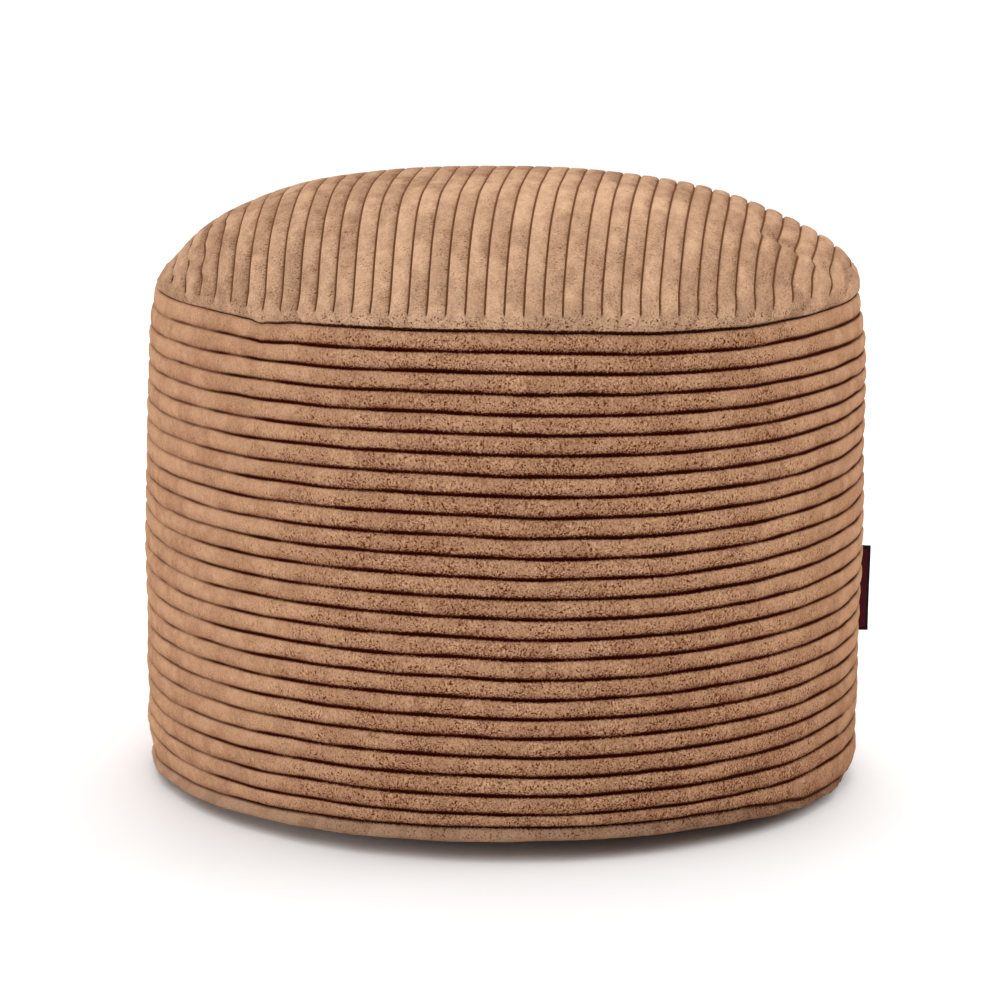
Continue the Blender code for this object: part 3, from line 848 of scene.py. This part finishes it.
def top_relief(plan, reach, degrees, depths):
    """How far the top stands off its even form, and its groove and band shares."""
    around = turned(degrees) / 360.0
    across, along = plan_shares(plan)
    share = roll_share(reach)
    end = read_table(GROOVE_ENDS, degrees)
    end = end + GROOVE_END_UNEVEN * read_uneven(ENDS, around, 0.5)
    past_end = reach - EDGE_REACH - end * ROLL_LENGTH
    groove = depths * smoothstep(0.5 - past_end / GROOVE_END_FADE)
    shoulder = smoothstep((-plan[:, 0] - WOBBLE_START - WOBBLE_FADE / 2.0) / WOBBLE_FADE)
    broken = smoothstep(0.1 - 2.2 * read_uneven(BREAKS, across, along))
    opening = SHOULDER_OPENING * (1.0 - broken) - BROKEN_SHARE * broken
    groove = groove * (1.0 + shoulder * opening)
    band = smoothstep(0.5 + past_end / BAND_EDGE)
    loose = 1.0 - smoothstep((share - 0.80) / 0.20)
    relief = -TOP_GROOVE_DEPTH * groove + BAND_RISE * band * loose
    off_crest = 2.0 * (cloth_coordinates(plan)[:, 1] % 1.0) - 1.0
    rounder = smoothstep((plan[:, 0] - ROUND_START) / ROUND_FADE) * (1.0 - band)
    relief = relief - ROUND_DEPTH * rounder * off_crest**2
    relief = relief + TOP_CREST_UNEVEN * loose * read_uneven(TOP_CRESTS, across, along)
    relief = relief + TOP_LUMP_DEPTH * loose * read_uneven(TOP_LUMPS, across, along)
    relief = relief + edge_unevenness(around, share, 1.0) * band * loose
    return relief, groove, band


def top_places(reach, degrees, relief):
    """Places on the top, standing off its even form by relief."""
    low, high = np.maximum(reach - TINY_REACH, 0.0), reach + TINY_REACH
    normal = outward(top_profile, low, high, degrees)
    section = top_profile(reach, degrees) + normal * relief[:, None]
    step = np.minimum(reach / EDGE_REACH, 1.0) + roll_share(reach)
    return on_drum(degrees, section, apex_shift(step))


def make_top():
    """The domed sheet: grooved outside, smooth inside, with a puffed edge."""
    rim_reach = EDGE_REACH + PANEL_SHARE * ROLL_LENGTH
    plan, depths, faces, rim = round_plan(rim_reach, LINE_END, TOP_PROFILE, LINE_STEP)
    crease, jog = crease_shape(plan)
    across, along = plan_shares(plan)
    inner = smoothstep((rim_reach - polar(plan)[0]) / RIM_HOLD)
    moved = plan.copy()
    wobble = SHOULDER_WOBBLE * smoothstep((-plan[:, 0] - WOBBLE_START) / WOBBLE_FADE)
    wander = TOP_WANDER * read_uneven(TOP_WANDERING, across, along)
    wander = wander + wobble * read_uneven(WOBBLES, across, along)
    moved[:, 0] += inner * (jog + wander)
    reach, degrees = polar(moved)
    reach = np.minimum(reach, rim_reach)
    relief, groove, band = top_relief(moved, reach, degrees, depths)
    cloth = Cloth()
    places = top_places(reach, degrees, relief - crease)
    numbers = cloth.add_points(places, groove, band)
    cloth.add_plan_faces(faces, plan)
    rings = [([numbers[place] for place in rim], closed_coordinates(plan[rim]))]
    for row in range(1, ROLL_ROWS + 1):
        share = PANEL_SHARE + (1.0 - PANEL_SHARE) * row / ROLL_ROWS
        outer = circle(EDGE_REACH + share * ROLL_LENGTH)
        reach = np.full(len(COLUMNS), EDGE_REACH + share * ROLL_LENGTH)
        relief, _groove, band = top_relief(outer, reach, COLUMNS, np.zeros(len(COLUMNS)))
        places = top_places(reach, COLUMNS, relief)
        hidden = OPENNESS * SEAM_LINE_OPENNESS * smoothstep((share - 0.86) / 0.14)
        rings.append((cloth.add_points(places, hidden, 1.0), closed_coordinates(outer)))
    cloth.skin(rings)
    inner_rings = (top_ring(step, 0.0) for step in reversed(CROWN_STEPS))
    lining = cloth.add_lining(rings[-1][0], inner_rings)
    cloth.skin(lining)
    apex = dome_section(0.0, np.zeros(1))[0, 1] - CLOTH
    cloth.fan(lining[-1][0], (0.0, apex_shift(0.0), apex), flip=True)
    return cloth.make("domed_top")


def make_base():
    """A shallow dish: its flat foot, its rolled edge and its inner face."""
    plan, depths, faces, rim = round_plan(RIM_RADIUS, BASE_LINE_END, BASE_PROFILE, BASE_LINE_STEP)
    radius, degrees = polar(plan)
    inside_end = BASE_GROOVE_END - radius
    groove = depths * smoothstep(inside_end / GROOVE_END_FADE)
    section = underside_section(radius / RIM_RADIUS, degrees)
    section[:, 1] += BASE_GROOVE_DEPTH * groove
    cloth = Cloth()
    band = 1.0 - smoothstep(inside_end / BAND_EDGE)
    numbers = cloth.add_points(on_drum(degrees, section), groove, band)
    cloth.add_plan_faces([face[::-1] for face in faces], plan)
    rings = [([numbers[place] for place in rim], closed_coordinates(plan[rim]))]
    around = turned(COLUMNS) / 360.0
    for row in range(1, UNDERSIDE_ROWS + 1):
        share = row / UNDERSIDE_ROWS
        section = base_section(1.0 + share, COLUMNS)
        if share < 1.0:
            bulge = math.sin(math.pi * share) * edge_unevenness(around, share, 0.0)
            low, high = 1.0 + share - SMALL_STEP, 1.0 + share + SMALL_STEP
            normal = outward(base_section, low, high, COLUMNS)
            section = section - normal * bulge[:, None]
        hidden = OPENNESS * smoothstep((share - 0.85) / 0.15)
        numbers = cloth.add_points(on_drum(COLUMNS, section), hidden, 1.0)
        outer = circle(RIM_RADIUS + share * ROLL_LENGTH)
        rings.append((numbers, closed_coordinates(outer)))
    cloth.skin(rings[::-1])
    inner_rings = (foot_ring(step, 0.0) for step in reversed(FOOT_STEPS))
    lining = cloth.add_lining(rings[-1][0], inner_rings)
    cloth.skin(lining[::-1])
    cloth.fan(lining[-1][0], (0.0, 0.0, BASE_CLOTH))
    return cloth.make("rolled_base")


def make_tab():
    """The blank ribbon, folded double, standing out of the side seam."""
    low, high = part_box("side_tab")
    root, tip = low.x, high.x
    middle = (root + tip) / 2.0
    half, slot = TAB_HALF_THICKNESS, TAB_SLOT
    fold = [math.pi * turn / 10 - math.pi / 2.0 for turn in range(11)]
    outline = [(root, -half), (middle, -half)]
    outline.extend((tip - half + half * math.cos(turn), half * math.sin(turn)) for turn in fold)
    outline.extend([(middle, half), (root, half), (root, slot), (middle, slot)])
    outline.extend([(tip - half, slot), (tip - half, -slot), (middle, -slot), (root, -slot)])
    cloth = Cloth()
    rings = []
    for row in range(TAB_ROWS + 1):
        height = low.z + (high.z - low.z) * row / TAB_ROWS
        lean = TAB_WAVE * math.sin(5.0 * row / TAB_ROWS)
        ring = [(x, y + lean * (x - root) / (tip - root) * 2.0, height) for x, y in outline]
        rings.append(cloth.add_points(ring))
    lengths = [x - root for x, _y in outline]
    for row in range(TAB_ROWS):
        lower_v, upper_v = row / TAB_ROWS, (row + 1) / TAB_ROWS
        lower, upper = rings[row], rings[row + 1]
        for step in range(len(outline)):
            after = (step + 1) % len(outline)
            start, end = lengths[step], lengths[after]
            numbers = (lower[step], lower[after], upper[after], upper[step])
            corners = ((start, lower_v), (end, lower_v), (end, upper_v), (start, upper_v))
            cloth.add_face(numbers, corners)
    ends = [(0.0, 0.0)] * len(outline)
    cloth.add_face(tuple(reversed(rings[0])), ends)
    cloth.add_face(tuple(rings[-1]), ends)
    piece = cloth.make("ribbon_tab")
    piece.data.set_sharp_from_angle(angle=math.radians(40))
    return piece


# --- Materials ---
# Painted shade on the lower half of each wale, which turns down from the light.
LOWER_HALF_PAINTED_SHADE = -0.13
# Darkening of the pile's dots: partly its grain, partly painted shade in the gaps between tufts.
DOT_SHADE = -1.15
FRAY = 1.3
WALES_APART = (61.0, 37.0)
# The dark of the seam lines: partly the cloth's bare ground, partly painted shade in the seam's
# valley.
SEAM_COLOUR = (0.030, 0.003, 0.0008, 1.0)
SELVEDGE_COLOUR = (0.012, 0.008, 0.010, 1.0)
RIBBON_COLOUR = (0.071, 0.006, 0.013, 1.0)
SELVEDGE_BLUR = 0.0002
EVERY_WAY = (1.0, 1.0, 1.0)


class Value:
    """A node's output that sums and products can be made of."""

    def __init__(self, graph, socket):
        self.graph = graph
        self.socket = socket

    def __add__(self, other):
        return self.graph.math("ADD", self, other)

    def __sub__(self, other):
        return self.graph.math("SUBTRACT", self, other)

    def __mul__(self, other):
        return self.graph.math("MULTIPLY", self, other)


class Graph:
    """A material's nodes, with short calls for the kinds that it uses."""

    def __init__(self, name):
        self.material = bpy.data.materials.new(name)
        self.material.use_nodes = True
        self.tree = self.material.node_tree
        self.shader = self.tree.nodes["Principled BSDF"]

    def add(self, kind, inputs, output=0, **settings):
        """Add a node and return one of its outputs."""
        node = self.tree.nodes.new("ShaderNode" + kind)
        for name, value in settings.items():
            setattr(node, name, value)
        self.put(node, inputs)
        return Value(self, node.outputs[output])

    def put(self, node, inputs):
        for name, value in inputs.items():
            if isinstance(value, Value):
                self.tree.links.new(value.socket, node.inputs[name])
            else:
                node.inputs[name].default_value = value

    def shade(self, inputs):
        """Fill in the shader's own sockets and return the material."""
        self.put(self.shader, inputs)
        return self.material

    def math(self, operation, *values, clamp=False):
        inputs = dict(enumerate(values))
        return self.add("Math", inputs, operation=operation, use_clamp=clamp)

    def remap(self, value, low, high, to_low=0.0, to_high=1.0):
        inputs = dict(enumerate((value, low, high, to_low, to_high)))
        return self.add("MapRange", inputs, interpolation_type="SMOOTHSTEP")

    def noise(self, place, scale, detail=2.0, roughness=0.5):
        inputs = {"Vector": place, "Scale": scale, "Detail": detail, "Roughness": roughness}
        return self.add("TexNoise", inputs)

    def mix(self, share, first, second):
        return self.add("Mix", {0: share, 6: first, 7: second}, 2, data_type="RGBA")

    def blend(self, share, first, second):
        return self.add("Mix", {0: share, 2: first, 3: second}, data_type="FLOAT")

    def scale(self, place, factors):
        return self.add("VectorMath", {0: place, 1: factors}, operation="MULTIPLY")

    def split(self, place):
        return [self.add("SeparateXYZ", {0: place}, axis) for axis in range(3)]

    def attribute(self, name):
        return self.add("Attribute", {}, "Fac", attribute_name=name)


def corduroy(
    name, dark, pale, groove_colour, fleck_strength, groove_reach, even=0.0, banded=0.0, band_shade=0.0,
    middle_painted_light=0.0, right_shade=0.0, patchiness=1.0, drawn=EVERY_WAY, streak=EVERY_WAY
):
    """Plush pile on wales: each wale has its own patches and its own flecks.

    dark and pale are the shadowed and the lit pile. fleck_strength and banded are
    the strength of the flecks on wales and on rolled edges, partly the pile's grain
    and partly painted shade in the gaps between tufts. even is how far they spread
    to the left and right, and band_shade is painted shade on those edges.
    middle_painted_light is painted light and shade: how much paler the pile is
    painted at the middle than on the slopes beside and behind it. right_shade is
    painted shade that darkens the bottom right. drawn and streak scale the
    patches and the pile on each axis: below 1 they are drawn out.
    """
    graph = Graph(name)
    noise, remap = graph.noise, graph.remap
    count = graph.split(graph.add("UVMap", {}, uv_map="cloth"))[1]
    wale = graph.math("FLOOR", count)
    share = graph.math("FRACT", count)
    groove, plain = graph.attribute("groove"), graph.attribute("plain")
    world = graph.add("TexCoord", {}, "Object")
    x, y, z = graph.split(world)
    spot = graph.scale(world, (MILLIMETRES,) * 3)
    apart = graph.add("CombineXYZ", {0: wale * WALES_APART[0], 1: wale * WALES_APART[1]})
    cloth = graph.add("VectorMath", {0: spot, 1: apart}, operation="ADD")

    patch_place = graph.scale(cloth, drawn)
    patches = remap(noise(patch_place, 0.036), 0.43, 0.57, -0.5, 0.5)
    # The lower half of each wale, which turns down from the light: it gets painted shade and more
    # flecks.
    lower_half = remap(share, 0.45, 0.98) * (plain * -1.0 + 1.0)
    tone = (noise(world, 10.0) - 0.5) * 0.14 + 0.5
    tone = tone + patches * (0.10 * patchiness)
    tone = tone + (noise(patch_place, 0.16) - 0.5) * (0.28 * patchiness)
    tone = tone + lower_half * LOWER_HALF_PAINTED_SHADE

    tufts = noise(graph.scale(cloth, streak), 0.66, 2.5, 0.6)
    nubs = noise(cloth, 0.95, 2.0, 0.55)
    pile = graph.blend(remap(noise(cloth, 0.12, 1.0), 0.42, 0.58), tufts, nubs)
    clusters = remap(noise(cloth, 0.050, 2.5, 0.6), 0.40, 0.60, 0.48, 1.0)
    # The bottom right, where the pile gets painted shade and thicker flecks.
    low_right = graph.math("MAXIMUM", x, 0.0) * remap(z, 0.16, 0.03)
    # Where the cloth faces straight front or back, more so towards the right and at the bottom
    # right: here the flecks, partly painted shade in the gaps between tufts, are strongest.
    facing = graph.math("ABSOLUTE", y) + low_right * 0.12 + x * 0.18
    facing = remap(facing, 0.135, 0.262, 0.12, 1.0)
    flecking = (lower_half * 0.22 + clusters) * fleck_strength * graph.blend(even, facing, 1.0)
    flecking = flecking + remap(plain, 0.35, 1.0) * facing * banded
    gain = (flecking * 1.8 + 0.40) * (plain * -0.35 + 1.0)
    tone = tone + (pile - 0.5) * gain
    # Dark dots of the pile: partly its grain, partly painted shade in the gaps between tufts.
    lower = graph.math("MAXIMUM", remap(share, 0.08, 0.50, 0.30, 1.0), plain)
    dots = remap(noise(cloth, 0.74, 1.5, 0.6), 0.56, 0.67) * lower * flecking
    # Here the dots darken the pile, and the rolled edges get painted shade.
    tone = tone + dots * DOT_SHADE + plain * band_shade
    # Painted light and shade: the middle is painted paler than the slopes beside it and behind it.
    aside = graph.math("ABSOLUTE", x - 0.03)
    behind = graph.math("MAXIMUM", y + 0.12, 0.0)
    beside = remap(behind * 1.1 + aside, 0.06, 0.22, 0.5, -0.5)
    # Painted shade at the bottom right.
    tone = tone + beside * middle_painted_light + low_right * right_shade
    colour = graph.mix(graph.math("MAXIMUM", tone, 0.0, clamp=True), dark, pale)

    # Grooves and seam lines take dark colours: partly the cloth's bare ground there, partly
    # painted shade in these hollows.
    fray = (noise(cloth, 0.80, 2.0, 0.6) - 0.5) * (facing * remap(groove, 0.03, 0.10))
    sunk = remap(fray * FRAY + groove, *groove_reach)
    colour = graph.mix(sunk, colour, graph.mix(plain, groove_colour, SEAM_COLOUR))

    height = pile * (flecking * 1.6 + 0.5) + noise(cloth, 2.2, 1.0) * 0.20
    bump = graph.add("Bump", {"Strength": 0.8, "Distance": 0.0007, "Height": height})
    return graph.shade({
        "Base Color": colour,
        "Normal": bump,
        "Roughness": 0.95,
        "Specular IOR Level": 0.02,
        "Sheen Weight": 0.10,
        "Sheen Roughness": 0.40,
        "Sheen Tint": (1.0, 0.50, 0.25, 1.0),
    })


def ribbon():
    """A woven ribbon: black selvedges round a dark maroon middle."""
    graph = Graph("woven_ribbon")
    reach, up, _none = graph.split(graph.add("UVMap", {}, uv_map="cloth"))
    low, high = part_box("side_tab")
    height, width = high.z - low.z, high.x - low.x
    up = up * height
    border = graph.math("MINIMUM", up, up * -1.0 + height)
    border = graph.math("MINIMUM", border, reach * -1.0 + width)
    middle = graph.remap(border, TAB_SELVEDGE - SELVEDGE_BLUR, TAB_SELVEDGE + SELVEDGE_BLUR)
    colour = graph.mix(middle, SELVEDGE_COLOUR, RIBBON_COLOUR)
    twill = graph.math("SINE", (reach * 2.0 + up) * 9000.0)
    weave = twill * 0.5 + graph.math("SINE", up * 14000.0) * 0.5
    shade = graph.remap(weave, -1.0, 1.0, 0.75, 1.2)
    bump = graph.add("Bump", {"Strength": 0.35, "Distance": 0.0002, "Height": weave})
    return graph.shade({
        "Base Color": graph.add("VectorMath", {0: colour, 3: shade}, operation="SCALE"),
        "Normal": bump,
        "Roughness": 0.62,
        "Specular IOR Level": 0.06,
    })


# --- Camera, lights and floor ---
CAMERA_PLACE = (0.0, -2.078, 0.599)
CAMERA_YAW = math.radians(0.0946)
CAMERA_PITCH = math.radians(11.236)
CAMERA_ROLL = math.radians(0.678)
CAMERA_LENS = 108.79
SENSOR = 36.0


def add_camera():
    camera = add_object("camera", bpy.data.cameras.new("camera"))
    camera.data.lens = CAMERA_LENS
    camera.data.sensor_width = SENSOR
    turn = Matrix.Rotation(CAMERA_YAW, 4, "Z")
    tilt = Matrix.Rotation(math.pi / 2.0 - CAMERA_PITCH, 4, "X")
    roll = Matrix.Rotation(CAMERA_ROLL, 4, "Z")
    camera.matrix_world = Matrix.Translation(CAMERA_PLACE) @ turn @ tilt @ roll
    bpy.context.scene.camera = camera


def add_softbox(name, place, target, size, power, colour=(1.0, 1.0, 1.0)):
    light = bpy.data.lights.new(name, "AREA")
    light.shape = "RECTANGLE"
    light.size, light.size_y = size
    light.energy = power
    light.color = colour
    lamp = add_object(name, light)
    lamp.location = place
    lamp.rotation_euler = (Vector(target) - Vector(place)).to_track_quat("-Z", "Y").to_euler()


def add_studio():
    scene = bpy.context.scene
    scene.view_settings.view_transform = "Standard"
    world = bpy.data.worlds.new("studio")
    world.use_nodes = True
    background = world.node_tree.nodes["Background"].inputs
    background["Color"].default_value = (1.0, 1.0, 1.0, 1.0)
    background["Strength"].default_value = 0.30
    scene.world = world
    ceiling = bpy.data.lights.new("ceiling", "SUN")
    ceiling.energy = 2.64
    ceiling.angle = math.radians(110)
    add_object("ceiling", ceiling)
    cool = (0.93, 1.0, 1.10)
    add_softbox("left_box", (-2.4, -0.9, 0.45), (0.0, 0.0, 0.20), (1.6, 0.8), 19.5, cool)
    add_softbox("right_box", (2.3, 0.1, 1.3), (0.0, 0.0, 0.25), (1.2, 1.0), 15.0)
    add_softbox("front_box", (-0.9, -3.3, 0.4), (0.0, 0.0, 0.20), (1.6, 0.6), 3.0)
    add_softbox("rear_box", (0.0, 2.2, 1.6), (0.0, 0.0, 0.35), (2.0, 1.0), 25.0)
    bpy.ops.mesh.primitive_circle_add(vertices=128, radius=30.0, fill_type="NGON")
    floor = bpy.context.object
    floor.name = "floor"
    paint = {"Base Color": (0.93, 0.93, 0.93, 1.0), "Roughness": 0.9, "Specular IOR Level": 0.1}
    floor.data.materials.append(Graph("floor_paint").shade(paint))


# --- Putting it together ---
def dress(piece, material, node):
    piece.data.materials.append(material)
    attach(piece, "root")
    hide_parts(node)


def main():
    add_camera()
    add_studio()
    side_cloth = corduroy(
        "side_pile",
        dark=(0.110, 0.018, 0.002, 1.0),
        pale=(0.745, 0.446, 0.258, 1.0),
        groove_colour=(0.036, 0.0018, 0.0002, 1.0),
        fleck_strength=1.0,
        groove_reach=(0.26, 0.76),
        right_shade=-0.40,
        streak=(1.15, 1.15, 0.70),
    )
    # The top is the side's cloth with paler colours: painted light.
    top_cloth = corduroy(
        "top_pile",
        dark=(0.110, 0.040, 0.016, 1.0),
        pale=(0.838, 0.527, 0.331, 1.0),
        groove_colour=(0.190, 0.080, 0.030, 1.0),
        fleck_strength=0.27,
        groove_reach=(0.33, 0.66),
        even=0.9,
        banded=0.50,
        band_shade=-0.02,
        middle_painted_light=0.15,
        patchiness=1.5,
        drawn=(1.0, 0.36, 1.0),
    )
    # The base is the side's cloth with darker colours: painted shade.
    base_cloth = corduroy(
        "base_pile",
        dark=(0.100, 0.034, 0.014, 1.0),
        pale=(0.620, 0.385, 0.240, 1.0),
        groove_colour=(0.060, 0.018, 0.007, 1.0),
        fleck_strength=0.32,
        groove_reach=(0.30, 0.95),
        banded=0.12,
        right_shade=-1.4,
    )
    body = make_body()
    dress(body, side_cloth, "cushion_body")
    top = make_top()
    dress(top, top_cloth, "top_panel")
    base = make_base()
    dress(base, base_cloth, "base_panel")
    tab = make_tab()
    dress(tab, ribbon(), "side_tab")


main()
